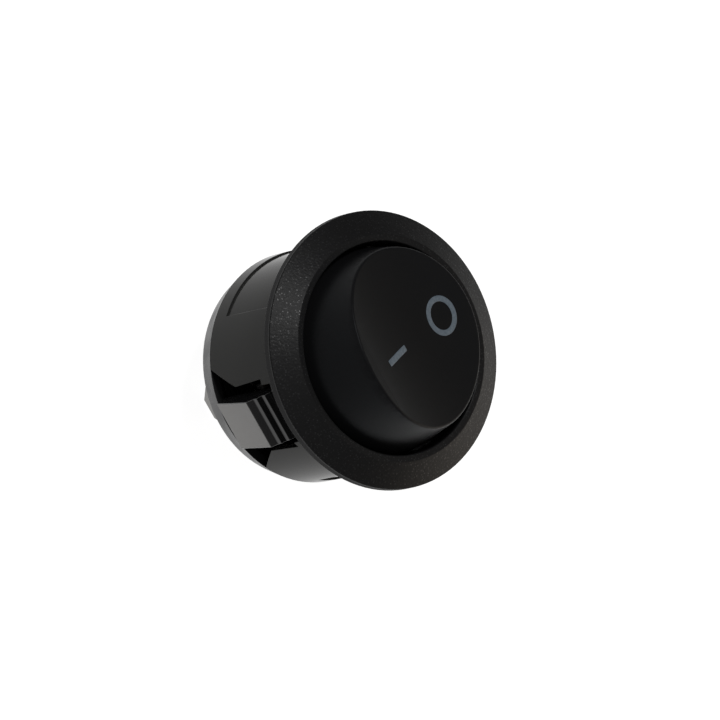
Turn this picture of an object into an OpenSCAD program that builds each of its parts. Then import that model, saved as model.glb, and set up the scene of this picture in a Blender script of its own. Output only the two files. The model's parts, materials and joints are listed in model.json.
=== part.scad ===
// Round snap-in rocker switch with one pair of contacts, made for a round hole in a panel.
// +Z points out of the front, and z = 0 is the face of the panel that the bezel seats on.
// The rocker swings about a line along X. It is drawn switched off, with its +Y end pressed in.

/* [Bezel] */
// Outside diameter of the bezel
bezel_d = 23.5; // [22.5:0.1:26]
// Height of the bezel's straight rim
rim_h = 0.8; // [0.5:0.05:1.1]
// Height of the bezel's crest above the panel
crest_h = 1.95; // [1.6:0.05:2.3]
// Width of the flat ring round the opening
crest_w = 0.6; // [0.4:0.05:0.9]
// Radius of the bezel's moulded edges
edge_r = 0.15; // [0.05:0.01:0.2]

/* [Body] */
// Outside diameter of the body behind the panel
body_d = 19.6; // [18.8:0.1:20.4]
// Length of the body behind the panel
body_len = 10.4; // [10:0.1:12]
// Thickness of the body's wall
wall = 0.8; // [0.7:0.05:1]
// Depth of the shallow recess for the moulded marking on each side
recess_t = 0.15; // [0.1:0.05:0.3]
// Angle that each recess spans to each side of the pivot line
recess_span = 34.5; // [28:0.5:36]
// Distance of the recess's rear edge behind the panel
recess_end = 8.8; // [8:0.1:9.2]

/* [Snap lugs] */
// Width of each spring finger
lug_w = 4.4; // [3.8:0.1:5]
// Height of the lug's peak above the body
lug_h = 1.1; // [0.8:0.05:1.3]
// Distance of the peak behind the panel
lug_peak = 4.85; // [4.6:0.05:5.4]
// Length of the slanted face next to the peak
lug_slant = 0.7; // [0.5:0.05:0.8]
// Length of the slanted face of each smaller step
step_slant = 0.35; // [0.2:0.05:0.4]
// Length of the land between two slanted faces
step_land = 0.4; // [0.3:0.05:0.5]
// Cut that frees the finger's end from the rear base
finger_gap = 0.12; // [0.08:0.01:0.3]

/* [Cut-outs beside the fingers] */
// Distance of the cut-out's front end behind the panel
slot_front = 2.65; // [2.6:0.05:2.8]
// Distance of the step in the cut-out's edge behind the panel
slot_step = 3.8; // [3.4:0.05:4.2]
// Distance of the cut-out's waist behind the panel
slot_waist = 7.4; // [6.6:0.1:8]
// Gap beside the finger at the front end
slot_front_gap = 0.6; // [0.4:0.05:0.9]
// Gap beside the finger behind the step
slot_step_gap = 1.1; // [1:0.05:1.3]
// Gap beside the finger at the waist
slot_waist_gap = 0.9; // [0.7:0.05:1.1]
// Gap beside the finger at the rear edge
slot_rear_gap = 2.6; // [2:0.1:3]

/* [Rocker] */
// Depth of the pivot behind the panel
pivot_depth = 1.3; // [1.28:0.02:1.5]
// Angle that the rocker tilts to each side
tilt = 14; // [11:0.5:15]
// Height of the middle of the face above the pivot
face_h = 5; // [4.6:0.1:5.6]
// Radius of the hollow in the face along the rocking line
face_hollow_r = 30.6; // [26:0.2:60]
// Gap between the rocker and the opening
rocker_gap = 0.15; // [0.1:0.01:0.25]
// Reach of the skirt below the pivot
skirt_drop = 1.6; // [1.4:0.05:2]
// Thickness of the rocker's side wall
rocker_wall = 1.1; // [0.9:0.05:1.3]
// Thickness of the rocker's face
rocker_top = 1.2; // [0.9:0.05:1.5]
// Thickness of the ribs under the face
rib_t = 0.9; // [0.6:0.1:1.2]
// Diameter of the pivot pins
pin_d = 2.4; // [2:0.1:2.4]
// Outside diameter of the barrel that holds the spring
barrel_d = 4.6; // [4.2:0.1:5]
// Reach of the barrel below the pivot
barrel_drop = 3.4; // [3:0.1:3.8]

/* [Plunger and spring] */
// Diameter of the plunger
plunger_d = 2.6; // [2.2:0.1:2.8]
// Reach of the plunger's tip below the pivot
tip_drop = 6.2; // [5.8:0.1:6.4]
// Reach of the plunger's shoulder below the pivot
shoulder_drop = 1.6; // [1.2:0.1:2]
// Diameter of the plunger's shank inside the spring
shank_d = 1.2; // [0.9:0.1:1.4]
// Length of the plunger's shank
shank_len = 1.2; // [0.8:0.1:1.6]
// Height of the spring's seat above the pivot
spring_seat = 1.6; // [1.2:0.1:2]
// Diameter of the spring's wire
wire_d = 0.3; // [0.2:0.02:0.34]
// Number of turns of the spring
spring_turns = 5.5; // [4:0.5:7]

/* [Contact lever] */
// Width of the lever
lever_w = 4; // [3.4:0.1:4.4]
// Thickness of the lever
lever_t = 0.8; // [0.6:0.05:0.9]
// Rise of each arm from the middle
arm_rise = 16; // [13:0.5:18]
// Angle that the lever swings to each side
lever_swing = 9; // [7:0.5:11]
// Height of the valley above the fulcrum
valley_h = 0.9; // [0.88:0.02:1.1]
// Length of the arm without a contact
idle_arm = 4; // [3.8:0.1:4.6]
// Distance of the contacts from the fulcrum
contact_reach = 5.8; // [5.7:0.1:6.1]
// Diameter of the moving contact's head
moving_head_d = 2.2; // [1.8:0.1:2.6]
// Thickness of the moving contact's head
moving_head_t = 0.5; // [0.3:0.05:0.7]
// Diameter of the fixed contact's head
fixed_head_d = 2.4; // [1.8:0.1:2.6]
// Thickness of the fixed contact's head
fixed_head_t = 0.7; // [0.5:0.05:0.9]
// Radius of the fixed contact's dome
dome_r = 4; // [3:0.1:6]
// Diameter of the contacts' rivet shanks
rivet_d = 1.2; // [0.9:0.1:1.3]
// Thickness of the rivets' formed ends
rivet_end_t = 0.3; // [0.2:0.05:0.4]

/* [Terminals] */
// Width of each terminal blade
tab_w = 4.8; // [4:0.1:5.2]
// Thickness of the terminals' sheet
tab_t = 0.8; // [0.6:0.05:0.9]
// Length of each blade behind the base
tab_len = 6.2; // [5.6:0.1:8]
// Distance of each blade from the switch's axis
tab_y = 4.5; // [4.2:0.1:4.6]
// Cut off each corner of a blade's tip
tab_chamfer = 1.5; // [0.8:0.1:1.8]
// Diameter of the hole in each blade
tab_hole_d = 1.4; // [1:0.1:1.8]
// Distance of the hole from the blade's tip
tab_hole_in = 3; // [2.6:0.1:3.4]
// Width of the strap that leads to the fulcrum
strap_w = 2.4; // [1.8:0.1:2.6]
// Width of each ear beside the lever
ear_w = 0.9; // [0.6:0.1:1]
// Height of the ears above the fulcrum
ear_h = 1.6; // [1.2:0.1:1.8]
// Width of the ledge that carries the fixed contact
ledge_w = 4; // [3.4:0.1:4.6]

/* [Base] */
// Length of the base behind the body
base_len = 2.2; // [2:0.1:2.8]
// Diameter of the base's rear face
base_rear_d = 18; // [16.5:0.1:19]
// Thickness of the base's floor
floor_t = 1.2; // [1:0.1:1.5]
// Depth of the hollow in the rear face
rear_recess = 0.4; // [0.2:0.05:0.5]
// Width of the rim round that hollow
rear_rim = 1.1; // [0.8:0.1:1.6]
// Thickness of the base's spigot inside the body
spigot_t = 1; // [0.8:0.1:1.2]
// Angle that each half of the spigot spans to each side of the pivot line
spigot_span = 49.5; // [40:0.5:52]
// Height of the spigot over the body's rear edge
spigot_h = 1.6; // [1.2:0.1:2]
// Thickness of the cheeks outside the terminal's ears
cheek_t = 0.8; // [0.6:0.1:1]
// Length of the cheeks beside the lever
cheek_len = 6; // [5:0.2:7]
// Distance of the idle arm's rests from the fulcrum
rest_y = 3.1; // [2.9:0.1:3.3]
// Length of each rest along the arm
rest_len = 0.8; // [0.6:0.1:1]

/* [Clearances] */
// Play of pins, plunger and fulcrum in their seats, measured on the radius
run_clear = 0.05; // [0.03:0.01:0.08]
// Play between pieces that are assembled and stay put
fit_clear = 0.05; // [0.02:0.01:0.08]
// Gap between the plunger's tip and the lever at the ends of the swing
tip_gap = 0.22; // [0.2:0.01:0.3]
// Gap between the closed contacts
contact_gap = 0.05; // [0.03:0.01:0.1]
// Gap between pieces that pass each other
side_gap = 0.15; // [0.1:0.01:0.25]

/* [Hidden] */
$fn = 96;
// Small overlap of shapes that are joined, and overrun of cuts past a surface
EPS = 0.01;
CUT = 1;

bezel_r = bezel_d / 2;
body_r = body_d / 2;
cavity_r = body_r - wall;
crest_r = cavity_r + crest_w;
rocker_r = cavity_r - rocker_gap;
pin_r = pin_d / 2;
pin_reach = sqrt(pow(body_r - recess_t, 2) - pow(pin_r, 2)) - fit_clear;
plunger_r = plunger_d / 2;
barrel_bore_r = plunger_r + run_clear;
finger_x = lug_w / 2;

// Height of the rocker's blank, which reaches over the highest points of the hollow face
blank_top = face_h + face_hollow_r - sqrt(pow(face_hollow_r, 2) - pow(rocker_r, 2)) + EPS;
inner_top = face_h - rocker_top / 2;

// The lever's fulcrum follows from the plunger's tip at the end of its swing
end_rise = arm_rise - lever_swing;
tip_centre = tip_drop - plunger_r;
tip_end_y = tip_centre * sin(tilt);
tip_end_z = -pivot_depth - tip_centre * cos(tilt);
tip_stand = plunger_r + tip_gap + valley_h * cos(arm_rise) + tip_end_y * sin(end_rise);
fulcrum_z = tip_end_z - tip_stand / cos(end_rise);
fulcrum_r = tab_t / 2;

// Underside of a lowered arm, as its distance along the arm and its height at a distance y
function arm_at(y) = (y - valley_h * sin(lever_swing) - lever_t * sin(end_rise)) / cos(end_rise);
function arm_under(y) = fulcrum_z + valley_h * cos(lever_swing)
    + arm_at(y) * sin(end_rise) - lever_t * cos(end_rise);

contact_s = arm_at(contact_reach);
contact_arm = contact_s + moving_head_d / 2 + side_gap;
fixed_y = contact_reach + moving_head_t * sin(end_rise);
meeting_z = arm_under(contact_reach) - moving_head_t * cos(end_rise);
dome_top = meeting_z + dome_r - (dome_r + contact_gap) / cos(end_rise);
ledge_top = dome_top - fixed_head_t;
ledge_under = ledge_top - tab_t;
ledge_end = fixed_y + fixed_head_d / 2 + side_gap;

base_rear = -body_len - base_len;
floor_top = base_rear + floor_t;
tab_tip = base_rear - tab_len;
rest_top = arm_under(rest_y - rest_len / 2) - side_gap;
ear_x = lever_w / 2 + side_gap;
pocket_x = ear_x + ear_w + side_gap;
spigot_r = cavity_r - fit_clear;

// The cheeks stand up beside the barrel, and slope down towards the lever where it passes over them
barrel_low = -pivot_depth - barrel_drop * cos(tilt) - barrel_d / 2 * sin(tilt);
barrel_x = barrel_d / 2 + side_gap;
barrel_foot = -pivot_depth - barrel_drop - side_gap;
cheek_top = -pivot_depth - skirt_drop - rib_t;

// Points that round off the corner b of an outline a-b-c: an arc that touches both of its sides
function rounded(a, b, c, r, steps = 6) =
    let (
        u = (a - b) / norm(a - b),
        v = (c - b) / norm(c - b),
        half = acos(u * v) / 2,
        sweep = 180 - 2 * half,
        centre = b + (u + v) / norm(u + v) * r / sin(half),
        first = b + u * r / tan(half) - centre,
        last = b + v * r / tan(half) - centre
    )
    [for (i = [0:steps])
        centre + (first * sin(sweep * (1 - i / steps)) + last * sin(sweep * i / steps)) / sin(sweep)];

// A flat outline in Y and Z, made into a bar along X
module along_x(width) {
    translate([-width / 2, 0, 0])
        rotate([90, 0, 90])
            linear_extrude(width)
                children();
}

// A flat outline in X and Z, made into a plate that is centred on a place along Y
module along_y(y, thickness) {
    translate([0, y + thickness / 2, 0])
        rotate([90, 0, 0])
            linear_extrude(thickness)
                children();
}

// A wedge that covers an angle to each side of +X
module sector(span, low, high) {
    far = 2 * body_r;
    translate([0, 0, low])
        linear_extrude(high - low)
            polygon([
                [0, 0], [far * cos(span), -far * sin(span)],
                [2 * far, 0], [far * cos(span), far * sin(span)]
            ]);
}

// The same thing at both ends of the pivot line
module both_sides() {
    children();
    rotate([0, 0, 180])
        children();
}

// A tube between two heights
module ring(outer, inner, low, high) {
    translate([0, 0, low])
        difference() {
            cylinder(r = outer, h = high - low);
            translate([0, 0, -EPS])
                cylinder(r = inner, h = high - low + 2 * EPS);
        }
}

// Places things in the rocker's own frame, which has its origin on the pivot and is drawn tilted
module in_rocker() {
    translate([0, 0, -pivot_depth])
        rotate([-tilt, 0, 0])
            children();
}

// Places things in the lever's own frame, which has its origin on the fulcrum and is drawn open
module in_lever() {
    translate([0, 0, fulcrum_z])
        rotate([lever_swing, 0, 0])
            children();
}

// Bezel and body in section: a sloping face between a straight rim and the flat crest
module shell_section() {
    rear = [cavity_r, -body_len];
    seat = [body_r, 0];
    foot = [bezel_r, 0];
    rim = [bezel_r, rim_h];
    crest = [crest_r, crest_h];
    mouth = [cavity_r, crest_h];
    polygon(concat(
        [rear, [body_r, -body_len], seat],
        rounded(seat, foot, rim, edge_r),
        rounded(foot, rim, crest, edge_r),
        rounded(rim, crest, mouth, edge_r),
        rounded(crest, mouth, rear, edge_r)
    ));
}

// Snap lug in section: a long ramp up to the peak and three slanted steps down to the body
module lug_section() {
    drop = lug_h / 3;
    slant_end = -lug_peak + lug_slant;
    land_end = slant_end + step_land;
    second_end = land_end + step_slant;
    second_land = second_end + step_land;
    root = body_r - wall / 2;
    polygon([
        [root, -body_len], [body_r, -body_len], [body_r + lug_h, -lug_peak],
        [body_r + 2 * drop, slant_end], [body_r + 2 * drop, land_end],
        [body_r + drop, second_end], [body_r + drop, second_land],
        [body_r, second_land + step_slant], [root, second_land + step_slant]
    ]);
}

// Half of the cut-out beside a finger, flared towards the rear edge
module slot_outline() {
    polygon([
        [finger_x, -slot_front], [finger_x + slot_front_gap, -slot_front],
        [finger_x + slot_front_gap, -slot_step], [finger_x + slot_step_gap, -slot_step],
        [finger_x + slot_waist_gap, -slot_waist], [finger_x + slot_rear_gap, -body_len],
        [finger_x + slot_rear_gap, -body_len - CUT], [finger_x, -body_len - CUT]
    ]);
}

// One moulded shell with two spring fingers, holes for the pivot pins and sunk fields for the marking
module housing() {
    color("#1c1d1f")
        difference() {
            union() {
                rotate_extrude()
                    shell_section();
                both_sides()
                    along_x(lug_w)
                        lug_section();
            }
            both_sides() {
                for (side = [0, 1])
                    mirror([side, 0, 0])
                        along_y(body_r, body_r)
                            slot_outline();
                translate([-finger_x - EPS, cavity_r / 2, -body_len - CUT])
                    cube([lug_w + 2 * EPS, body_r, CUT + finger_gap]);
                intersection() {
                    sector(recess_span, -recess_end, 0);
                    ring(body_r + CUT, body_r - recess_t, -recess_end, 0);
                }
                translate([cavity_r - CUT, 0, -pivot_depth])
                    rotate([0, 90, 0])
                        cylinder(r = pin_r + run_clear, h = wall + CUT + EPS);
            }
        }
}

// Outside of the rocker: a sphere round the pivot that runs on as a cone to the face
module rocker_form(radius, low, high) {
    intersection() {
        sphere(r = radius);
        translate([0, 0, low])
            cylinder(r = 2 * radius, h = radius * sin(tilt) - low);
    }
    translate([0, 0, radius * sin(tilt)])
        cylinder(
            r1 = radius * cos(tilt),
            r2 = radius * cos(tilt) - (high - radius * sin(tilt)) * tan(tilt),
            h = high - radius * sin(tilt)
        );
}

// Everything that lies above the hollow face, or above a face that is sunk by some depth
module above_face(depth) {
    translate([0, 0, face_h + face_hollow_r])
        rotate([0, 90, 0])
            cylinder(r = face_hollow_r + depth, h = 4 * rocker_r, center = true);
}

// Moulded rocker: a shell with a hollow face, pivot pins, ribs and the barrel for the spring
module rocker() {
    color("#242528")
        in_rocker()
            difference() {
                union() {
                    difference() {
                        rocker_form(rocker_r, -skirt_drop, blank_top);
                        difference() {
                            rocker_form(rocker_r - rocker_wall, -skirt_drop - CUT, blank_top);
                            above_face(rocker_top);
                        }
                    }
                    translate([0, 0, -barrel_drop])
                        cylinder(d = barrel_d, h = barrel_drop + inner_top);
                    intersection() {
                        rocker_form(rocker_r - rocker_wall / 2, -skirt_drop, inner_top);
                        translate([-rocker_r, -rib_t / 2, -skirt_drop])
                            cube([2 * rocker_r, rib_t, skirt_drop + inner_top]);
                    }
                    both_sides()
                        translate([rocker_r - rocker_wall, 0, 0])
                            rotate([0, 90, 0])
                                cylinder(r = pin_r, h = pin_reach - rocker_r + rocker_wall);
                }
                above_face(0);
                translate([0, 0, -barrel_drop - CUT])
                    cylinder(r = barrel_bore_r, h = barrel_drop + CUT + spring_seat);
            }
}

// Plunger: a round-nosed pin that slides in the barrel, with a thinner shank inside the spring
module plunger() {
    color("#e4dfd0")
        in_rocker() {
            translate([0, 0, -tip_centre])
                sphere(r = plunger_r);
            translate([0, 0, -tip_centre])
                cylinder(r = plunger_r, h = tip_centre - shoulder_drop);
            translate([0, 0, -shoulder_drop])
                cylinder(d = shank_d, h = shank_len);
        }
}

// Coil spring as one swept wire, with a ring of points for each step along the helix
module plunger_spring() {
    sides = 8;
    steps = ceil(spring_turns * 20);
    coil_r = barrel_bore_r - side_gap - wire_d / 2;
    low = -shoulder_drop + wire_d / 2 + EPS;
    rise = spring_seat + shoulder_drop - wire_d - 2 * EPS;
    points = [
        for (i = [0:steps], k = [0:sides - 1])
            let (
                turn = 360 * spring_turns * i / steps,
                a = 360 * k / sides,
                r = coil_r + wire_d / 2 * cos(a)
            )
            [r * cos(turn), r * sin(turn), low + rise * i / steps + wire_d / 2 * sin(a)]
    ];
    walls = [
        for (i = [0:steps - 1], k = [0:sides - 1])
            let (next = (k + 1) % sides)
            [i * sides + k, i * sides + next, (i + 1) * sides + next, (i + 1) * sides + k]
    ];
    first = [for (k = [sides - 1:-1:0]) k];
    last = [for (k = [0:sides - 1]) steps * sides + k];
    color("#b9bcc0")
        in_rocker()
            polyhedron(points, concat([first], walls, [last]));
}

// Section of the lever: two arms that rise from a valley, over a groove for the fulcrum
module lever_section() {
    difference() {
        polygon([
            [0, valley_h],
            [-idle_arm * cos(arm_rise), valley_h + idle_arm * sin(arm_rise)],
            [-idle_arm * cos(arm_rise) - lever_t * sin(arm_rise),
                valley_h + idle_arm * sin(arm_rise) - lever_t * cos(arm_rise)],
            [0, valley_h - lever_t / cos(arm_rise)],
            [contact_arm * cos(arm_rise) + lever_t * sin(arm_rise),
                valley_h + contact_arm * sin(arm_rise) - lever_t * cos(arm_rise)],
            [contact_arm * cos(arm_rise), valley_h + contact_arm * sin(arm_rise)]
        ]);
        circle(r = fulcrum_r + run_clear);
    }
}

// Places things on top of the contact arm, at the rivet
module at_contact() {
    in_lever()
        translate([0, 0, valley_h])
            rotate([arm_rise, 0, 0])
                translate([0, contact_s, 0])
                    children();
}

// Contact lever: a coined strip of copper alloy that rocks on the common terminal
module contact_lever() {
    color("#c58a55")
        difference() {
            in_lever()
                along_x(lever_w)
                    lever_section();
            at_contact()
                cylinder(d = rivet_d + 2 * EPS, h = 4 * lever_t, center = true);
        }
}

// Moving contact: a silver alloy rivet through the lever's long arm
module moving_contact() {
    color("#d5d6d4")
        at_contact() {
            translate([0, 0, -lever_t - moving_head_t])
                cylinder(d = moving_head_d, h = moving_head_t);
            translate([0, 0, -lever_t])
                cylinder(d = rivet_d, h = lever_t);
            cylinder(d = rivet_d + 2 * rivet_end_t, h = rivet_end_t);
        }
}

// Fixed contact: a domed silver alloy rivet through the load terminal's ledge
module fixed_contact() {
    color("#d5d6d4")
        translate([0, fixed_y, 0]) {
            intersection() {
                translate([0, 0, ledge_top])
                    cylinder(d = fixed_head_d, h = 2 * fixed_head_t);
                translate([0, 0, dome_top - dome_r])
                    sphere(r = dome_r);
            }
            translate([0, 0, ledge_under - EPS])
                cylinder(d = rivet_d, h = tab_t + 2 * EPS);
            translate([0, 0, ledge_under - rivet_end_t])
                cylinder(d = rivet_d + 2 * rivet_end_t, h = rivet_end_t);
        }
}

// Blade of a terminal up to the base's floor, with cut corners at its tip and a hole
module blade(y) {
    half = tab_w / 2;
    difference() {
        along_y(y, tab_t)
            polygon([
                [-half, floor_top], [-half, tab_tip + tab_chamfer], [-half + tab_chamfer, tab_tip],
                [half - tab_chamfer, tab_tip], [half, tab_tip + tab_chamfer], [half, floor_top]
            ]);
        translate([0, y, tab_tip + tab_hole_in])
            rotate([90, 0, 0])
                cylinder(d = tab_hole_d, h = 2 * tab_t, center = true);
    }
}

// A sheet's bend in section: a quarter round about its sharp inner corner
module bend(y, z, turn) {
    translate([y, z])
        rotate(turn)
            intersection() {
                circle(r = tab_t);
                square(tab_t);
            }
}

// Common terminal: blade, strap along the floor and an upright whose round edge is the fulcrum
module common_terminal() {
    inner_y = -tab_y + tab_t / 2;
    upright_x = ear_x + ear_w;
    color("#cfcbbd") {
        blade(-tab_y);
        along_x(strap_w) {
            bend(inner_y, floor_top, 90);
            translate([inner_y, floor_top])
                square([-fulcrum_r - inner_y, tab_t]);
            bend(-fulcrum_r, floor_top + tab_t, -90);
        }
        along_y(0, tab_t)
            difference() {
                translate([-upright_x, floor_top + tab_t])
                    square([2 * upright_x, fulcrum_z + ear_h - floor_top - tab_t]);
                translate([-ear_x, fulcrum_z])
                    square([2 * ear_x, 2 * ear_h]);
            }
        along_x(2 * ear_x)
            translate([0, fulcrum_z])
                circle(r = fulcrum_r);
    }
}

// Load terminal: a blade bent over into the ledge that carries the fixed contact
module load_terminal() {
    outer_y = tab_y + tab_t / 2;
    color("#cfcbbd")
        difference() {
            union() {
                blade(tab_y);
                along_x(ledge_w) {
                    translate([tab_y - tab_t / 2, floor_top - EPS])
                        square([tab_t, ledge_under - floor_top + 2 * EPS]);
                    bend(outer_y, ledge_under, 90);
                    translate([outer_y - EPS, ledge_under])
                        square([ledge_end - outer_y + EPS, tab_t]);
                }
            }
            translate([0, fixed_y, ledge_under - EPS])
                cylinder(d = rivet_d + 2 * EPS, h = 2 * tab_t);
        }
}

// Cheek beside the lever in section, with a lead-in towards the middle
module cheek_section() {
    polygon([
        [ear_x, floor_top - EPS], [pocket_x + cheek_t, floor_top - EPS], [pocket_x + cheek_t, cheek_top],
        [barrel_x, cheek_top], [barrel_x, barrel_foot], [ear_x, barrel_low - side_gap]
    ]);
}

// Rear base: floor, tapered rim, spigot, cheeks with pockets for the ears, and seats for the contacts
module base() {
    slot_w = tab_w + 2 * fit_clear;
    slot_t = tab_t + 2 * fit_clear;
    seat_y = tab_y + tab_t / 2 + fit_clear;
    rest_w = ear_x + EPS - strap_w / 2 - side_gap;
    color("#26272a")
        difference() {
            union() {
                rotate_extrude()
                    polygon(concat(
                        [[0, floor_top], [0, base_rear]],
                        rounded([0, base_rear], [base_rear_d / 2, base_rear], [body_r, -body_len], edge_r),
                        [[body_r, -body_len], [spigot_r, -body_len], [spigot_r - spigot_t, floor_top]]
                    ));
                both_sides() {
                    intersection() {
                        sector(spigot_span, floor_top - EPS, spigot_h - body_len);
                        ring(spigot_r, spigot_r - spigot_t, floor_top - EPS, spigot_h - body_len);
                    }
                    along_y(0, cheek_len)
                        cheek_section();
                }
                translate([-ledge_w / 2, seat_y, floor_top - EPS])
                    cube([ledge_w, ledge_end - seat_y, ledge_under - floor_top + EPS]);
                for (side = [0, 1])
                    mirror([side, 0, 0])
                        translate([strap_w / 2 + side_gap, -rest_y - rest_len / 2, floor_top - EPS])
                            cube([rest_w, rest_len, rest_top - floor_top + EPS]);
            }
            translate([-pocket_x, -tab_t / 2 - fit_clear, floor_top])
                cube([2 * pocket_x, tab_t + 2 * fit_clear, cheek_top - floor_top + CUT]);
            for (y = [-tab_y, tab_y])
                translate([-slot_w / 2, y - slot_t / 2, base_rear - CUT])
                    cube([slot_w, slot_t, floor_t + CUT + EPS]);
            translate([0, fixed_y, ledge_under - rivet_end_t - side_gap])
                cylinder(d = rivet_d + 2 * rivet_end_t + 2 * side_gap, h = 2 * rivet_end_t + side_gap);
            translate([0, 0, base_rear - CUT])
                cylinder(r = base_rear_d / 2 - rear_rim, h = CUT + rear_recess);
        }
}

housing();
rocker();
plunger();
plunger_spring();
contact_lever();
moving_contact();
fixed_contact();
common_terminal();
load_terminal();
base();
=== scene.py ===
import json
import math

import bpy
import numpy as np
from mathutils import Matrix, Vector


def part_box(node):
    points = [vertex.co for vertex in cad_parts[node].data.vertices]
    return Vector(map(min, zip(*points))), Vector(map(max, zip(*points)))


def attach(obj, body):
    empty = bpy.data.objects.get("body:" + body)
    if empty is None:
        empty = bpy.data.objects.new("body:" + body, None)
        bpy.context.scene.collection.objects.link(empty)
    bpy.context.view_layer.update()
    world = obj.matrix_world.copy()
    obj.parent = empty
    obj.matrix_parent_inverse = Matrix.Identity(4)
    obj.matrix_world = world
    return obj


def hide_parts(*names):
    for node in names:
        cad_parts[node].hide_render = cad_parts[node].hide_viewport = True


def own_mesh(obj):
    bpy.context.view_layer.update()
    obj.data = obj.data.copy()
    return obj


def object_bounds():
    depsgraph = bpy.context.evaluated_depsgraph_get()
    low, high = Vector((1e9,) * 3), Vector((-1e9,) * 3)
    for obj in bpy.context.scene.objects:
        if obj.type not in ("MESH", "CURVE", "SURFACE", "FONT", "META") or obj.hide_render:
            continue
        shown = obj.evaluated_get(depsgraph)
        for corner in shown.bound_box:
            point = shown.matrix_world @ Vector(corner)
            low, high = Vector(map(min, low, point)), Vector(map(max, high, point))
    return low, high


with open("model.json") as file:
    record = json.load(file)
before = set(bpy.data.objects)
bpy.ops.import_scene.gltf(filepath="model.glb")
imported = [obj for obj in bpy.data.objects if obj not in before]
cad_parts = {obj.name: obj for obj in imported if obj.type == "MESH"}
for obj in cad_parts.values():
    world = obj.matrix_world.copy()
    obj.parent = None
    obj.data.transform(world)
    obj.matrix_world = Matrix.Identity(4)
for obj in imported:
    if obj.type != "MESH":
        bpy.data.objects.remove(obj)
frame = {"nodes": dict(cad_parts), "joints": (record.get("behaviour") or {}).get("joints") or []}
cad_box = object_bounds()


# Housing: one shell of black filled nylon, injection moulded with its bezel and two snap lugs.
# The tool is spark-eroded on the bezel, which comes out matt and speckled, and polished on the body.
# It is pushed through the panel from the front until the stepped lugs spring out behind the sheet.

MM = 0.001
weld_within, flat_within = 0.0002 * MM, math.radians(0.3)
housing_edge, housing_sharp = 0.06 * MM, 22
# Where the finish changes: heights from the panel's face, and half widths of a ramp and a whole lug
rim_top, rim_step = 0.75 * MM, 0.1 * MM
panel_face = (-0.02 * MM, 0.05 * MM)
ramp_half, ramp_tail, ramp_peak = 2.12 * MM, -10.2 * MM, -4.85 * MM
lug_half, lug_tail, lug_front = 2.29 * MM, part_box("housing")[0][2], -2.5 * MM
side_blur, end_blur = 0.03 * MM, 0.05 * MM
# Colour, gloss and roughness of each part of the shell
housing_black = (0.014, 0.014, 0.0145, 1)
body_black, body_gloss, body_rough = (0.030, 0.030, 0.029, 1), 0.06, (0.07, 0.12)
# The lugs' colour is darker than the body's as painted shade on their flanks and steps
lug_shaded_black, lug_gloss = (0.009, 0.009, 0.0095, 1), 0.4
# The ramps' lighter grey is partly scuffing and partly a painted reflection of the bright floor
ramp_grey_and_sheen, ramp_gloss, ramp_rough = (0.105, 0.099, 0.091, 1), 0.6, (0.30, 0.44)
bezel_black, bezel_gloss, bezel_rough = (0.010, 0.010, 0.0105, 1), 0.235, 0.44
speck_black, speck_gloss, speck_rough = (0.017, 0.017, 0.0185, 1), 0.68, 0.34
rim_rough = 0.75
# Patterns in the surface
pit_size, pit_depth, speck_spacing = 0.2 * MM, 0.02 * MM, 0.21 * MM
wave_size, wave_share = 2.5 * MM, 0.04
scratch_size, scratch_length = 0.12 * MM, 12
# Strength of the ramps' lighter grey, partly scuffing and partly painted reflection: least where
# scratches are fewest, and its share at the peak
least_rubbed, wear_and_sheen_at_peak = 0.6, 0.7


def soften(node, width, sharp_from=32):
    """Rounds a piece's sharp edges: the solid's triangles are welded and its flat faces joined, every
    edge where two faces meet at more than sharp_from degrees gets a narrow round, and large faces keep
    their normals."""
    piece = frame["nodes"][node]
    weld = piece.modifiers.new("weld", "WELD")
    weld.merge_threshold = weld_within
    flat = piece.modifiers.new("flat_faces", "DECIMATE")
    flat.decimate_type = "DISSOLVE"
    flat.angle_limit = flat_within
    edges = piece.modifiers.new("rounded_edges", "BEVEL")
    edges.width = width
    edges.segments = 2
    edges.limit_method = "ANGLE"
    edges.angle_limit = math.radians(sharp_from)
    edges.use_clamp_overlap = False
    shading = piece.modifiers.new("even_shading", "WEIGHTED_NORMAL")
    shading.weight = 100
    return piece


def turn_normals(mesh, least_out=0.05, most_aside=0.08, most_sag=0.012 * MM):
    """Gives every face of a surface of revolution about Z the true normals of that surface. Such a face
    looks out from the axis or in to it, hardly to the side, and its middle lies within most_sag of the
    line that its corners are on, in the plane of radius and height."""
    place = np.empty((len(mesh.vertices), 3), np.float32)
    corner = np.empty(len(mesh.loops), np.int32)
    sides = np.empty(len(mesh.polygons), np.int32)
    facing = np.empty((len(mesh.polygons), 3), np.float32)
    normals = np.empty((len(mesh.loops), 3), np.float32)
    mesh.vertices.foreach_get("co", place.ravel())
    mesh.loops.foreach_get("vertex_index", corner)
    mesh.polygons.foreach_get("loop_total", sides)
    mesh.polygons.foreach_get("normal", facing.ravel())
    mesh.corner_normals.foreach_get("vector", normals.ravel())
    face = np.repeat(np.arange(len(sides)), sides)
    at = place[corner]
    radius = np.hypot(at[:, 0], at[:, 1])
    middle = np.stack([np.bincount(face, at[:, k]) for k in range(3)], axis=1) / sides[:, None]
    middle_r = np.hypot(middle[:, 0], middle[:, 1])
    out = (facing[:, 0] * middle[:, 0] + facing[:, 1] * middle[:, 1]) / middle_r
    aside = (facing[:, 1] * middle[:, 0] - facing[:, 0] * middle[:, 1]) / middle_r
    up = facing[:, 2]
    line = np.bincount(face, out[face] * radius + up[face] * at[:, 2]) / sides
    sag = np.abs(out * middle_r + up * middle[:, 2] - line)
    turned = ((np.abs(out) > least_out) & (np.abs(aside) < most_aside) & (sag < most_sag))[face]
    true = np.stack([out[face] * at[:, 0] / radius, out[face] * at[:, 1] / radius, up[face]], axis=1)
    normals[turned] = (true / np.linalg.norm(true, axis=1, keepdims=True))[turned]
    mesh.normals_split_custom_set(normals.tolist())


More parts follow.
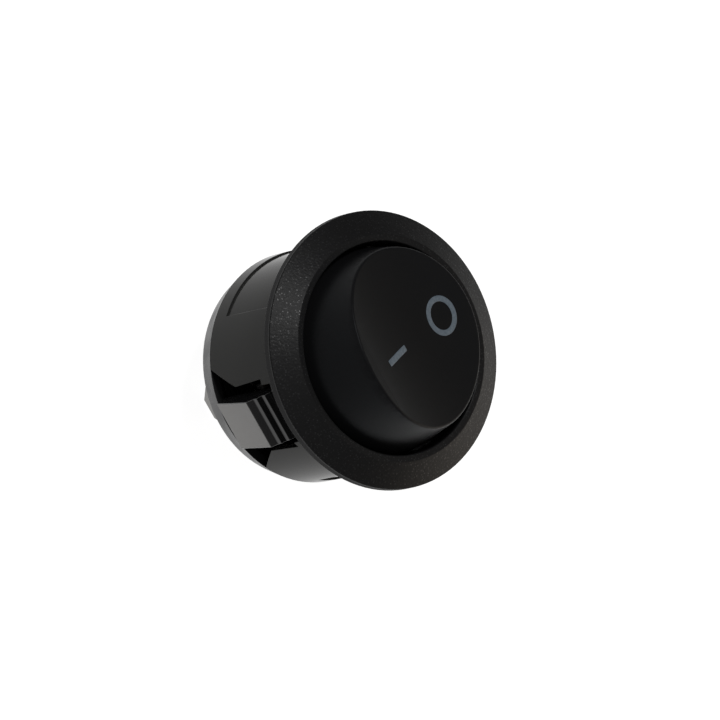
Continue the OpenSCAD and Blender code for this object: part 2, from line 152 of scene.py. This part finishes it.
def moulded(name, node, width, sharp_from):
    """A piece with a copy of a node's solid, its edges rounded and its round walls shaded evenly."""
    shape = soften(node, width, sharp_from).evaluated_get(bpy.context.evaluated_depsgraph_get())
    piece = bpy.data.objects.new(name, bpy.data.meshes.new_from_object(shape))
    frame["nodes"][node].modifiers.clear()
    bpy.context.scene.collection.objects.link(piece)
    turn_normals(piece.data)
    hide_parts(node)
    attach(piece, "case")
    return piece


def new_finish(name, colour, roughness, metallic=0.0):
    """An empty finish: a shader with its even values set, and the object's own coordinates to hang
    patterns on."""
    finish = bpy.data.materials.new(name)
    finish.use_nodes = True
    tree = finish.node_tree
    shader = tree.nodes["Principled BSDF"]
    shader.inputs["Base Color"].default_value = colour
    shader.inputs["Roughness"].default_value = roughness
    shader.inputs["Metallic"].default_value = metallic
    place = tree.nodes.new("ShaderNodeTexCoord").outputs["Object"]
    return finish, tree, shader, place


def grain(tree, place, size, detail=3.0, stretch=(1, 1, 1)):
    """A cloudy pattern whose lumps are about size metres across, stretched along the axes if asked."""
    drawn = tree.nodes.new("ShaderNodeMapping")
    drawn.inputs["Scale"].default_value = [1 / s for s in stretch]
    noise = tree.nodes.new("ShaderNodeTexNoise")
    noise.inputs["Scale"].default_value = 1 / size
    noise.inputs["Detail"].default_value = detail
    tree.links.new(place, drawn.inputs["Vector"])
    tree.links.new(drawn.outputs["Vector"], noise.inputs["Vector"])
    return noise.outputs["Fac"]


def spread(tree, value, low, high, from_low=0.3, from_high=0.7):
    """Maps a pattern onto the range from low to high."""
    mapped = tree.nodes.new("ShaderNodeMapRange")
    mapped.inputs["From Min"].default_value = from_low
    mapped.inputs["From Max"].default_value = from_high
    mapped.inputs["To Min"].default_value = low
    mapped.inputs["To Max"].default_value = high
    tree.links.new(value, mapped.inputs["Value"])
    return mapped.outputs["Result"]


def times(tree, first, second):
    """The product of two patterns."""
    product = tree.nodes.new("ShaderNodeMath")
    product.operation = "MULTIPLY"
    tree.links.new(first, product.inputs[0])
    tree.links.new(second, product.inputs[1])
    return product.outputs["Value"]


def spots(tree, place, spacing, solid=0.1, gone=0.4):
    """Small round spots, about spacing metres apart, each of a strength of its own. From its middle, a
    spot is whole out to the share solid of the spacing, and fades to nothing at the share gone."""
    cells = tree.nodes.new("ShaderNodeTexVoronoi")
    cells.inputs["Scale"].default_value = 1 / spacing
    strength = tree.nodes.new("ShaderNodeSeparateColor")
    tree.links.new(place, cells.inputs["Vector"])
    tree.links.new(cells.outputs["Color"], strength.inputs["Color"])
    disc = spread(tree, cells.outputs["Distance"], 1.0, 0.0, solid, gone)
    return times(tree, disc, strength.outputs["Red"])


def within(tree, value, low, high, soft):
    """1 where a value lies between two bounds and 0 outside them, with a soft step at each."""
    rise = spread(tree, value, 0.0, 1.0, low - soft, low + soft)
    fall = spread(tree, value, 1.0, 0.0, high - soft, high + soft)
    return times(tree, rise, fall)


def blended(tree, share, first, second, kind="FLOAT"):
    """The first value where share is 0 and the second where it is 1; either may be a pattern."""
    mix = tree.nodes.new("ShaderNodeMix")
    mix.data_type = kind
    tree.links.new(share, mix.inputs["Factor"])
    for socket, value in ((mix.inputs["A"], first), (mix.inputs["B"], second)):
        if isinstance(value, bpy.types.NodeSocket):
            tree.links.new(value, socket)
        else:
            socket.default_value = value
    return mix.outputs["Result"]


def shaded(tree, share, first, second):
    """The first colour where share is 0 and the second where it is 1; either may be a pattern."""
    return blended(tree, share, first, second, "RGBA")


def relief(tree, shader, height, depth):
    """Raises the surface by a pattern, up to depth metres."""
    bump = tree.nodes.new("ShaderNodeBump")
    bump.inputs["Distance"].default_value = depth
    bump.inputs["Strength"].default_value = 1.0
    tree.links.new(height, bump.inputs["Height"])
    tree.links.new(bump.outputs["Normal"], shader.inputs["Normal"])


def dress(piece, finish):
    """Gives a piece one finish all over."""
    piece.data.materials.clear()
    piece.data.materials.append(finish)


def housing_finish():
    """Spark-eroded grain on the bezel's front, with glossy specks, a plain matt rim, and polished plastic
    behind the panel's face. The lugs are painted darker as painted shade on their flanks and steps. Their
    ramps are burnished where they slide through the panel and painted a lighter grey, partly as scuffing
    and partly as a painted reflection of the bright floor."""
    finish, tree, shader, place = new_finish("black_nylon_housing", housing_black, roughness=0.5)
    axes = tree.nodes.new("ShaderNodeSeparateXYZ")
    tree.links.new(place, axes.inputs["Vector"])
    across, height = axes.outputs["X"], axes.outputs["Z"]
    front = spread(tree, height, 0.0, 1.0, *panel_face)
    sparked = spread(tree, height, 0.0, 1.0, rim_top - rim_step, rim_top)
    ramp = times(tree, within(tree, across, -ramp_half, ramp_half, side_blur),
                 within(tree, height, ramp_tail, ramp_peak, end_blur))
    lug = times(tree, within(tree, across, -lug_half, lug_half, side_blur),
                within(tree, height, lug_tail, lug_front, end_blur))
    pits = grain(tree, place, pit_size, detail=2.0)
    specks = times(tree, sparked, spots(tree, place, speck_spacing))
    waves = grain(tree, place, wave_size, detail=1.0)
    scratches = grain(tree, place, scratch_size, stretch=(1, 1, scratch_length))

    behind = blended(tree, ramp, blended(tree, lug, body_gloss, lug_gloss), ramp_gloss)
    gloss = blended(tree, front, behind, blended(tree, specks, bezel_gloss, speck_gloss))
    tree.links.new(gloss, shader.inputs["Specular IOR Level"])

    matt = blended(tree, sparked, rim_rough, blended(tree, specks, bezel_rough, speck_rough))
    polished = blended(tree, ramp, spread(tree, waves, *body_rough), spread(tree, scratches, *ramp_rough))
    tree.links.new(blended(tree, front, polished, matt), shader.inputs["Roughness"])

    raised = blended(tree, front, spread(tree, waves, 0.0, wave_share), times(tree, sparked, pits))
    relief(tree, shader, raised, pit_depth)

    # Scuffing and painted reflection on the ramps: a lighter grey that follows the scratches and fades
    # towards the peak
    rubbed = spread(tree, scratches, least_rubbed, 1.0)
    fading = spread(tree, height, 1.0, wear_and_sheen_at_peak, ramp_tail, ramp_peak)
    worn_and_sheen = times(tree, ramp, times(tree, rubbed, fading))
    # Lugs painted darker as painted shade; ramps painted a lighter grey, partly scuffing and partly
    # painted reflection
    body = shaded(tree, worn_and_sheen, shaded(tree, lug, body_black, lug_shaded_black), ramp_grey_and_sheen)
    bezel = shaded(tree, specks, bezel_black, speck_black)
    tree.links.new(shaded(tree, front, body, bezel), shader.inputs["Base Color"])
    return finish


housing = moulded("housing_shell", "housing", housing_edge, housing_sharp)
dress(housing, housing_finish())


# Rocker: a satin black nylon key, moulded with its pins, ribs and the barrel for the spring.
# Its hollow face is textured finely and its rim is rounded. The pins snap into the body's holes.
# It rests on its O side, tilted by half of its swing.

joints = {joint["name"]: joint for joint in frame["joints"]}
pivot_z = joints["rocker_tilt"]["pos_m"][2]
rocker_tilt = math.radians(joints["rocker_tilt"]["range_deg"][1]) / 2
face_height = 5.0 * MM
face_hollow_r = 30.6 * MM
wall_foot_r = 8.85 * MM
rim_round = 0.2 * MM
rocker_sharp = 28
# Points of the form that rounds the rim, out from the rim's corner and up from the face
over_face = np.array([[-6.0, -1.5], [1.5, 0.15]]) * MM
past_wall = np.array([[1.2, 6.0], [-1.2, -14.0]]) * MM
rocker_black = (0.014, 0.014, 0.0145, 1)
rocker_dark, rocker_light = (0.0084, 0.0085, 0.0092, 1), (0.0148, 0.0150, 0.0162, 1)
rocker_gloss, rocker_sheen = 0.14, (0.90, 0.96, 1.0, 1)
rocker_rough, rocker_cloud = (0.35, 0.375), 3.0 * MM
rocker_grain, rocker_grain_depth = 0.07 * MM, 0.006 * MM


def in_rocker(x, y, z):
    """Points of the rocker's own frame, which is turned by its tilt about the pivot."""
    c, s = math.cos(rocker_tilt), math.sin(rocker_tilt)
    return np.stack([x, c * y + s * z, pivot_z - s * y + c * z], axis=-1)


def face_at(y):
    """Height of the hollow face: a cylinder of radius face_hollow_r that lies along X."""
    return face_height + face_hollow_r - np.sqrt(face_hollow_r ** 2 - y ** 2)


def grid_piece(name, points, ends=False):
    """A mesh from an array of points [u, v], closed round u. Round v it is closed too, or capped at both
    ends."""
    rows, columns = points.shape[:2]
    number = np.arange(rows * columns).reshape(rows, columns)
    number = np.concatenate([number, number[:1]], axis=0)
    if not ends:
        number = np.concatenate([number, number[:, :1]], axis=1)
    quads = np.stack([number[:-1, :-1], number[1:, :-1], number[1:, 1:], number[:-1, 1:]], axis=-1)
    faces = quads.reshape(-1, 4).tolist()
    if ends:
        faces += [number[:-1, 0][::-1].tolist(), number[:-1, -1].tolist()]
    mesh = bpy.data.meshes.new(name)
    mesh.from_pydata(points.reshape(-1, 3).tolist(), [], faces)
    mesh.shade_smooth()
    piece = bpy.data.objects.new(name, mesh)
    bpy.context.scene.collection.objects.link(piece)
    return piece


def rim_envelope(around=240, round_steps=9, passes=8):
    """A closed form that holds the whole rocker but cuts its sharp rim off. Round the axis, a section
    comes down to the face near the rim, follows a curve from the face to the conical wall, and opens out
    again below. The curve is the parabola that touches both where they lie rim_round from the corner.
    The corner, where face and wall meet, is found in a few passes, each from the height of the last.
    over_face and past_wall hold the other points: out from the corner, and up from the face."""
    turn = np.linspace(0, 2 * np.pi, around, endpoint=False)[:, None]
    slope = math.tan(rocker_tilt)
    corner = wall_foot_r * np.ones_like(turn)
    for _ in range(passes):
        corner = (wall_foot_r / math.cos(rocker_tilt)) - slope * face_at(corner * np.sin(turn))
    t = np.linspace(0, 1, round_steps)[None, :]
    into, down = rim_round * (1 - t) ** 2, rim_round * t ** 2
    level = np.zeros_like(turn)
    rounded = corner - into + slope * down
    radius = np.concatenate([corner + over_face[0], rounded, corner + past_wall[0]], axis=1)
    height = np.concatenate([level + over_face[1], level - down, level + past_wall[1]], axis=1)
    x, y = radius * np.cos(turn), radius * np.sin(turn)
    z = face_at(np.clip(y, -wall_foot_r, wall_foot_r)) + height
    return grid_piece("rim_envelope", in_rocker(x, y, z)[::-1], ends=True)


def rocker_key():
    """The rocker's solid, with its triangles joined and its rim rounded by the envelope."""
    key = bpy.data.objects.new("rocker_key", frame["nodes"]["rocker"].data.copy())
    bpy.context.scene.collection.objects.link(key)
    joined = key.modifiers.new("weld", "WELD")
    joined.merge_threshold = weld_within
    envelope = rim_envelope()
    rounding = key.modifiers.new("rounded_rim", "BOOLEAN")
    rounding.operation = "INTERSECT"
    rounding.solver = "EXACT"
    rounding.object = envelope
    shape = key.evaluated_get(bpy.context.evaluated_depsgraph_get())
    key.data = bpy.data.meshes.new_from_object(shape)
    key.modifiers.clear()
    bpy.data.objects.remove(envelope)
    key.data.shade_smooth()
    key.data.set_sharp_from_angle(angle=math.radians(rocker_sharp))
    shading = key.modifiers.new("even_shading", "WEIGHTED_NORMAL")
    shading.weight = 100
    shading.keep_sharp = True
    return key


def tinted(tree, shader, share, dark, light):
    """Lets the colour wander between two shades with a pattern."""
    tree.links.new(shaded(tree, share, dark, light), shader.inputs["Base Color"])


def rocker_finish():
    """A fine even grain that breaks up the gloss."""
    finish, tree, shader, place = new_finish("satin_nylon_rocker", rocker_black, roughness=0.42)
    shader.inputs["Specular IOR Level"].default_value = rocker_gloss
    shader.inputs["Specular Tint"].default_value = rocker_sheen
    fine = grain(tree, place, rocker_grain)
    cloud = grain(tree, place, rocker_cloud, detail=2.0)
    tree.links.new(spread(tree, cloud, *rocker_rough), shader.inputs["Roughness"])
    relief(tree, shader, fine, rocker_grain_depth)
    tinted(tree, shader, fine, rocker_dark, rocker_light)
    return finish


rocker = rocker_key()
dress(rocker, rocker_finish())
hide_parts("rocker")
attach(rocker, "rocker")


# Marks: the ring for off and the bar for on, pad printed in pale ink on the rocker's hollow face.
# The ink is a thin film with soft edges, a little raised over the plastic.

ring_middle, ring_reach, ring_stroke = (0.2 * MM, 4.27 * MM), (1.48 * MM, 1.41 * MM), 0.5 * MM
bar_middle, bar_length, bar_stroke = (0.17 * MM, -2.97 * MM), 3.1 * MM, 0.56 * MM
bar_power = 14
film, film_edge = 0.02 * MM, 0.04 * MM
ink_grey = (0.176, 0.217, 0.262, 1)
ink_thin, ink_full = (0.144, 0.184, 0.225, 1), (0.208, 0.257, 0.308, 1)
ink_cloud, ink_depth = 0.25 * MM, 0.004 * MM


def on_face(x, y, lift):
    """Points at x and y on the rocker's hollow face, lifted off it."""
    return in_rocker(x, y, face_at(y) + lift)


def off_ring(around=96):
    """A flat band carried round an ellipse: across the band it rises from under the face to the film's
    top and goes down again, so the section is closed and so is the path."""
    turn = np.linspace(0, 2 * np.pi, around, endpoint=False)[:, None]
    half = ring_stroke / 2
    across = np.array([-half, -half, film_edge - half, half - film_edge, half, half])[None, :]
    lift = np.array([-film, film / 2, film, film, film / 2, -film])[None, :] + 0 * turn
    x = ring_middle[0] + (ring_reach[0] + across) * np.cos(turn)
    y = ring_middle[1] + (ring_reach[1] + across) * np.sin(turn)
    return grid_piece("off_ring", on_face(x, y, lift)[::-1])


def on_bar(around=96):
    """A bar with slightly rounded corners: outlines of one shape, from under the face up over the film's
    edge and in by steps, capped above and below. The outline is a superellipse of power bar_power."""
    turn = np.linspace(0, 2 * np.pi, around, endpoint=False)[:, None]
    c, s = np.cos(turn), np.sin(turn)
    inset = np.array([0.0, 0.0, 1.0])[None, :] * film_edge
    lift = np.array([-film, film / 2, film])[None, :] + 0 * turn
    x = bar_middle[0] + (bar_stroke / 2 - inset) * np.sign(c) * np.abs(c) ** (2 / bar_power)
    y = bar_middle[1] + (bar_length / 2 - inset) * np.sign(s) * np.abs(s) ** (2 / bar_power)
    return grid_piece("on_bar", on_face(x, y, lift), ends=True)


def ink_finish():
    """Pale blue-grey ink, thinner in places."""
    finish, tree, shader, place = new_finish("pad_print_ink", ink_grey, roughness=0.5)
    cover = grain(tree, place, ink_cloud, detail=2.0)
    tinted(tree, shader, spread(tree, cover, 0.0, 1.0), ink_thin, ink_full)
    relief(tree, shader, cover, ink_depth)
    return finish


ink = ink_finish()
for mark in (off_ring(), on_bar()):
    dress(mark, ink)
    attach(mark, "rocker")


# Plunger spring: drawn steel wire coiled to fit the barrel, between its blind end and the plunger's
# shoulder. A real one shortens as the plunger is pushed in, its upper end staying on the blind end; this
# coil is drawn at one length.

spring_wire, spring_r, spring_turns = 0.3 * MM, 1.05 * MM, 5.5
spring_low, spring_high = -1.6 * MM, 1.6 * MM
steel_grey = (0.55, 0.56, 0.58, 1)
steel_dark, steel_light, steel_rough = (0.46, 0.47, 0.49, 1), (0.62, 0.63, 0.65, 1), (0.22, 0.38)
steel_grain = 0.1 * MM


def coil(steps=265, round_steps=16):
    """A round wire carried along a helix that climbs evenly from the shoulder to the blind end, capped at
    its ends. Round the wire, a point lies at the helix's radius plus the cosine, and at its height plus
    the sine."""
    along = np.linspace(0, 1, steps)[None, :]
    round_wire = np.linspace(0, 2 * np.pi, round_steps, endpoint=False)[:, None]
    thick = spring_wire / 2
    climb = spring_low + thick + (spring_high - spring_low - spring_wire) * along
    radius = spring_r + thick * np.cos(round_wire) + 0 * along
    height = climb + thick * np.sin(round_wire)
    turn = 2 * np.pi * spring_turns * along
    points = in_rocker(radius * np.cos(turn), radius * np.sin(turn), height)
    return grid_piece("coil", points[::-1], ends=True)


def spring_finish():
    """Drawn wire, grey and slightly mottled."""
    finish, tree, shader, place = new_finish("spring_wire", steel_grey, roughness=0.3, metallic=1.0)
    mottle = grain(tree, place, steel_grain, detail=2.0)
    tree.links.new(spread(tree, mottle, *steel_rough), shader.inputs["Roughness"])
    tinted(tree, shader, mottle, steel_dark, steel_light)
    return finish


spring = coil()
dress(spring, spring_finish())
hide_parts("plunger_spring")
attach(spring, "rocker")
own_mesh(spring)


# Plunger: a round-nosed pin moulded from natural nylon, with a thinner shank inside the spring.
# It slides in the rocker's barrel, and the spring presses its nose on the lever.

plunger_edge = 0.08 * MM
nylon_cream = (0.75, 0.71, 0.62, 1)
nylon_dark, nylon_light = (0.68, 0.64, 0.55, 1), (0.82, 0.79, 0.71, 1)
nylon_cloud, nylon_depth = 0.5 * MM, 0.01 * MM


def plunger_finish():
    """Milky nylon with a faint cloudiness."""
    finish, tree, shader, place = new_finish("natural_nylon", nylon_cream, roughness=0.45)
    cloud = grain(tree, place, nylon_cloud)
    tinted(tree, shader, cloud, nylon_dark, nylon_light)
    relief(tree, shader, cloud, nylon_depth)
    return finish


dress(soften("plunger", plunger_edge), plunger_finish())


# Base: the rear insulator of black nylon, pressed into the body on its spigot until its shoulder seats.
# It is moulded glossy, with slots for the terminals, cheeks beside the lever and seats for the contacts.

base_edge, base_sharp = 0.05 * MM, 32
base_dark, base_light = (0.024, 0.024, 0.0245, 1), (0.032, 0.032, 0.033, 1)
base_gloss, base_rough = 0.12, (0.24, 0.36)
base_wave, base_depth = 2.0 * MM, 0.004 * MM


def base_finish():
    """Polished plastic with a slight waviness."""
    finish, tree, shader, place = new_finish("black_nylon_base", housing_black, roughness=0.18)
    shader.inputs["Specular IOR Level"].default_value = base_gloss
    waves = grain(tree, place, base_wave, detail=1.5)
    tree.links.new(spread(tree, waves, *base_rough), shader.inputs["Roughness"])
    relief(tree, shader, waves, base_depth)
    tinted(tree, shader, waves, base_dark, base_light)
    return finish


base = moulded("base_insulator", "base", base_edge, base_sharp)
dress(base, base_finish())


# Terminals: blades stamped and bent from brass sheet and plated with tin, held in the base's slots.
# The rolling marks run along the blades.

terminal_edge = 0.06 * MM
tin_grey = (0.25, 0.247, 0.24, 1)
tin_dark, tin_light, tin_rough = (0.20, 0.197, 0.19, 1), (0.30, 0.297, 0.29, 1), (0.30, 0.48)
tin_streak, tin_streak_length, tin_depth = 0.12 * MM, 14, 0.006 * MM


def terminal_finish():
    """Soft grey metal with fine streaks along the blade."""
    finish, tree, shader, place = new_finish("tinned_brass", tin_grey, roughness=0.38, metallic=1.0)
    streak = grain(tree, place, tin_streak, stretch=(1, 1, tin_streak_length))
    tree.links.new(spread(tree, streak, *tin_rough), shader.inputs["Roughness"])
    tinted(tree, shader, streak, tin_dark, tin_light)
    relief(tree, shader, streak, tin_depth)
    return finish


tinned = terminal_finish()
for name in ("common_terminal", "load_terminal"):
    dress(soften(name, terminal_edge), tinned)


# Contact lever: a strip of copper alloy, coined to two arms that rise from a valley, with a groove below.
# It lies with the groove on the common terminal's upright edge and rocks there under the plunger.

lever_edge = 0.05 * MM
copper = (0.72, 0.40, 0.22, 1)
copper_dark, copper_light, copper_rough = (0.60, 0.31, 0.16, 1), (0.78, 0.47, 0.28, 1), (0.22, 0.40)
copper_streak, copper_streak_length, copper_depth = 0.15 * MM, 10, 0.006 * MM


def lever_finish():
    """Warm copper with coining marks along the strip."""
    finish, tree, shader, place = new_finish("lever_copper", copper, roughness=0.3, metallic=1.0)
    streak = grain(tree, place, copper_streak, stretch=(1, copper_streak_length, 1))
    tree.links.new(spread(tree, streak, *copper_rough), shader.inputs["Roughness"])
    tinted(tree, shader, streak, copper_dark, copper_light)
    relief(tree, shader, streak, copper_depth)
    return finish


dress(soften("contact_lever", lever_edge), lever_finish())


# Contacts: domed rivets of silver alloy that meet when the switch is on.
# One is headed over in the lever and one in the load terminal's ledge.

contact_edge = 0.04 * MM
silver = (0.86, 0.85, 0.82, 1)
silver_dark, silver_light, silver_rough = (0.74, 0.72, 0.67, 1), (0.90, 0.89, 0.87, 1), (0.16, 0.34)
silver_blotch = 0.5 * MM


def contact_finish():
    """Bright silver with faint blotches of tarnish."""
    finish, tree, shader, place = new_finish("contact_silver", silver, roughness=0.22, metallic=1.0)
    blotch = grain(tree, place, silver_blotch)
    tree.links.new(spread(tree, blotch, *silver_rough), shader.inputs["Roughness"])
    tinted(tree, shader, blotch, silver_dark, silver_light)
    return finish


tarnished = contact_finish()
for name in ("moving_contact", "fixed_contact"):
    dress(soften(name, contact_edge), tarnished)


# Floor: a pale light table under the blades' tips, a matt white sheet over two wide lamps.
# It glows evenly round the switch, so that nothing casts a hard shadow, and it is dimmer far away on two
# sides, where the light of one lamp or of both runs out.

floor_drop, floor_half = 0.2 * MM, 1.5
near_lamp, far_lamp = (0.16, 0.19, 0.0), (0.195, -0.099, 0.0)
near_glow = ((0.0, 0.95), (0.293, 0.95), (0.37, 0.30))
far_glow = ((0.0, 1.0), (0.256, 1.0), (0.28, 0.5))
sheet_white = (0.4, 0.4, 0.4, 1)


def floor_surface():
    """A flat square in X and Y, a little under the lowest point."""
    z = cad_box[0][2] - floor_drop
    corners = np.array([[-1, -1], [1, -1], [1, 1], [-1, 1]]) * floor_half
    mesh = bpy.data.meshes.new("floor")
    mesh.from_pydata([(x, y, z) for x, y in corners], [], [(0, 1, 2, 3)])
    sheet = bpy.data.objects.new("floor", mesh)
    bpy.context.scene.collection.objects.link(sheet)
    return sheet


def ramp_of(tree, value, stops):
    """A grey that follows a list of places and brightnesses along a value."""
    greys = tree.nodes.new("ShaderNodeValToRGB")
    elements = greys.color_ramp.elements
    while len(elements) < len(stops):
        elements.new(0.5)
    for element, (position, grey) in zip(elements, stops):
        element.position = position
        element.color = (grey, grey, grey, 1)
    tree.links.new(value, greys.inputs["Fac"])
    return greys.outputs["Color"]


def distance_from(tree, place, middle):
    """How far a place lies from a middle point."""
    away = tree.nodes.new("ShaderNodeVectorMath")
    away.operation = "DISTANCE"
    away.inputs[1].default_value = middle
    tree.links.new(place, away.inputs[0])
    return away.outputs["Value"]


def floor_finish():
    """Matt white sheet, lit from below where the light of two wide lamps overlaps."""
    finish, tree, shader, place = new_finish("white_table", sheet_white, roughness=0.7)
    glow = times(tree, ramp_of(tree, distance_from(tree, place, near_lamp), near_glow),
                 ramp_of(tree, distance_from(tree, place, far_lamp), far_glow))
    tree.links.new(glow, shader.inputs["Emission Color"])
    shader.inputs["Emission Strength"].default_value = 1.0
    return finish


floor = floor_surface()
dress(floor, floor_finish())


# Light: a grey room with a soft ceiling and a warm pale backdrop low down on one side.
# A small soft lamp, high on the left, picks out the bezel's grain.

room_height = ((0.0, 0.16), (0.25, 0.03), (0.6, 0.03), (0.75, 0.25))
backdrop_way = (0.75, 0.62, 0.08)
backdrop_width = ((0.76, 0.0), (0.84, 0.2), (0.92, 0.8), (0.97, 1.0))
backdrop_warmth = (1.20, 1.07, 0.92, 1)
lamp_way, lamp_distance, lamp_size, lamp_power = (-0.47, 0.0, 0.88), 0.6, 0.1, 0.9


def surround():
    """The room's grey by height, and the backdrop where the direction looked at lies near its middle."""
    world = bpy.data.worlds.new("studio")
    world.use_nodes = True
    tree = world.node_tree
    way = tree.nodes.new("ShaderNodeTexCoord").outputs["Generated"]
    axes = tree.nodes.new("ShaderNodeSeparateXYZ")
    towards = tree.nodes.new("ShaderNodeVectorMath")
    towards.operation = "DOT_PRODUCT"
    towards.inputs[1].default_value = Vector(backdrop_way).normalized()
    tree.links.new(way, axes.inputs["Vector"])
    tree.links.new(way, towards.inputs[0])
    room = ramp_of(tree, axes.outputs["Z"], room_height)
    share = ramp_of(tree, towards.outputs["Value"], backdrop_width)
    lit = shaded(tree, share, room, backdrop_warmth)
    tree.links.new(lit, tree.nodes["Background"].inputs["Color"])
    bpy.context.scene.world = world


def left_lamp():
    """A square lamp that looks at the switch from a direction."""
    data = bpy.data.lights.new("left_lamp", "AREA")
    data.size = lamp_size
    data.energy = lamp_power
    lamp = bpy.data.objects.new("left_lamp", data)
    place = Vector(lamp_way).normalized() * lamp_distance
    lamp.matrix_world = Matrix.Translation(place) @ place.to_track_quat("Z", "Y").to_matrix().to_4x4()
    bpy.context.scene.collection.objects.link(lamp)


surround()
left_lamp()


# Camera: far off with a long lens, as the photograph was taken, with the switch's axis leaning to the
# right. The scale and the origin's pixel were fitted to the outlines of the bezel and the body.

axis_lean = math.radians(37)
axis_heading = math.radians(12.3)
rocking_turn = math.radians(21)
pixels_per_metre = 11990
picture = 720
origin_pixel = (378, 351)
camera_distance = 1.0
sensor = 36.0


def camera_turn():
    """The picture's right, up and towards-the-viewer directions in the switch's frame."""
    cl, sl = math.cos(axis_lean), math.sin(axis_lean)
    ch, sh = math.cos(axis_heading), math.sin(axis_heading)
    axis = Vector((sl * ch, sl * sh, cl))
    side = Vector((-sh, ch, 0))
    down = Vector((cl * ch, cl * sh, -sl))
    c, s = math.cos(rocking_turn), math.sin(rocking_turn)
    return Matrix((s * down - c * side, c * down + s * side, axis))


facing = camera_turn()
right_of_middle = (picture / 2 - origin_pixel[0]) / pixels_per_metre
over_middle = (origin_pixel[1] - picture / 2) / pixels_per_metre
stand = facing @ Vector((right_of_middle, over_middle, camera_distance))
camera_data = bpy.data.cameras.new("camera")
camera_data.sensor_width = sensor
camera_data.lens = sensor * camera_distance * pixels_per_metre / picture
camera = bpy.data.objects.new("camera", camera_data)
camera.matrix_world = Matrix.Translation(stand) @ facing.to_4x4()
bpy.context.scene.collection.objects.link(camera)
bpy.context.scene.camera = camera
bpy.context.scene.view_settings.view_transform = "Standard"
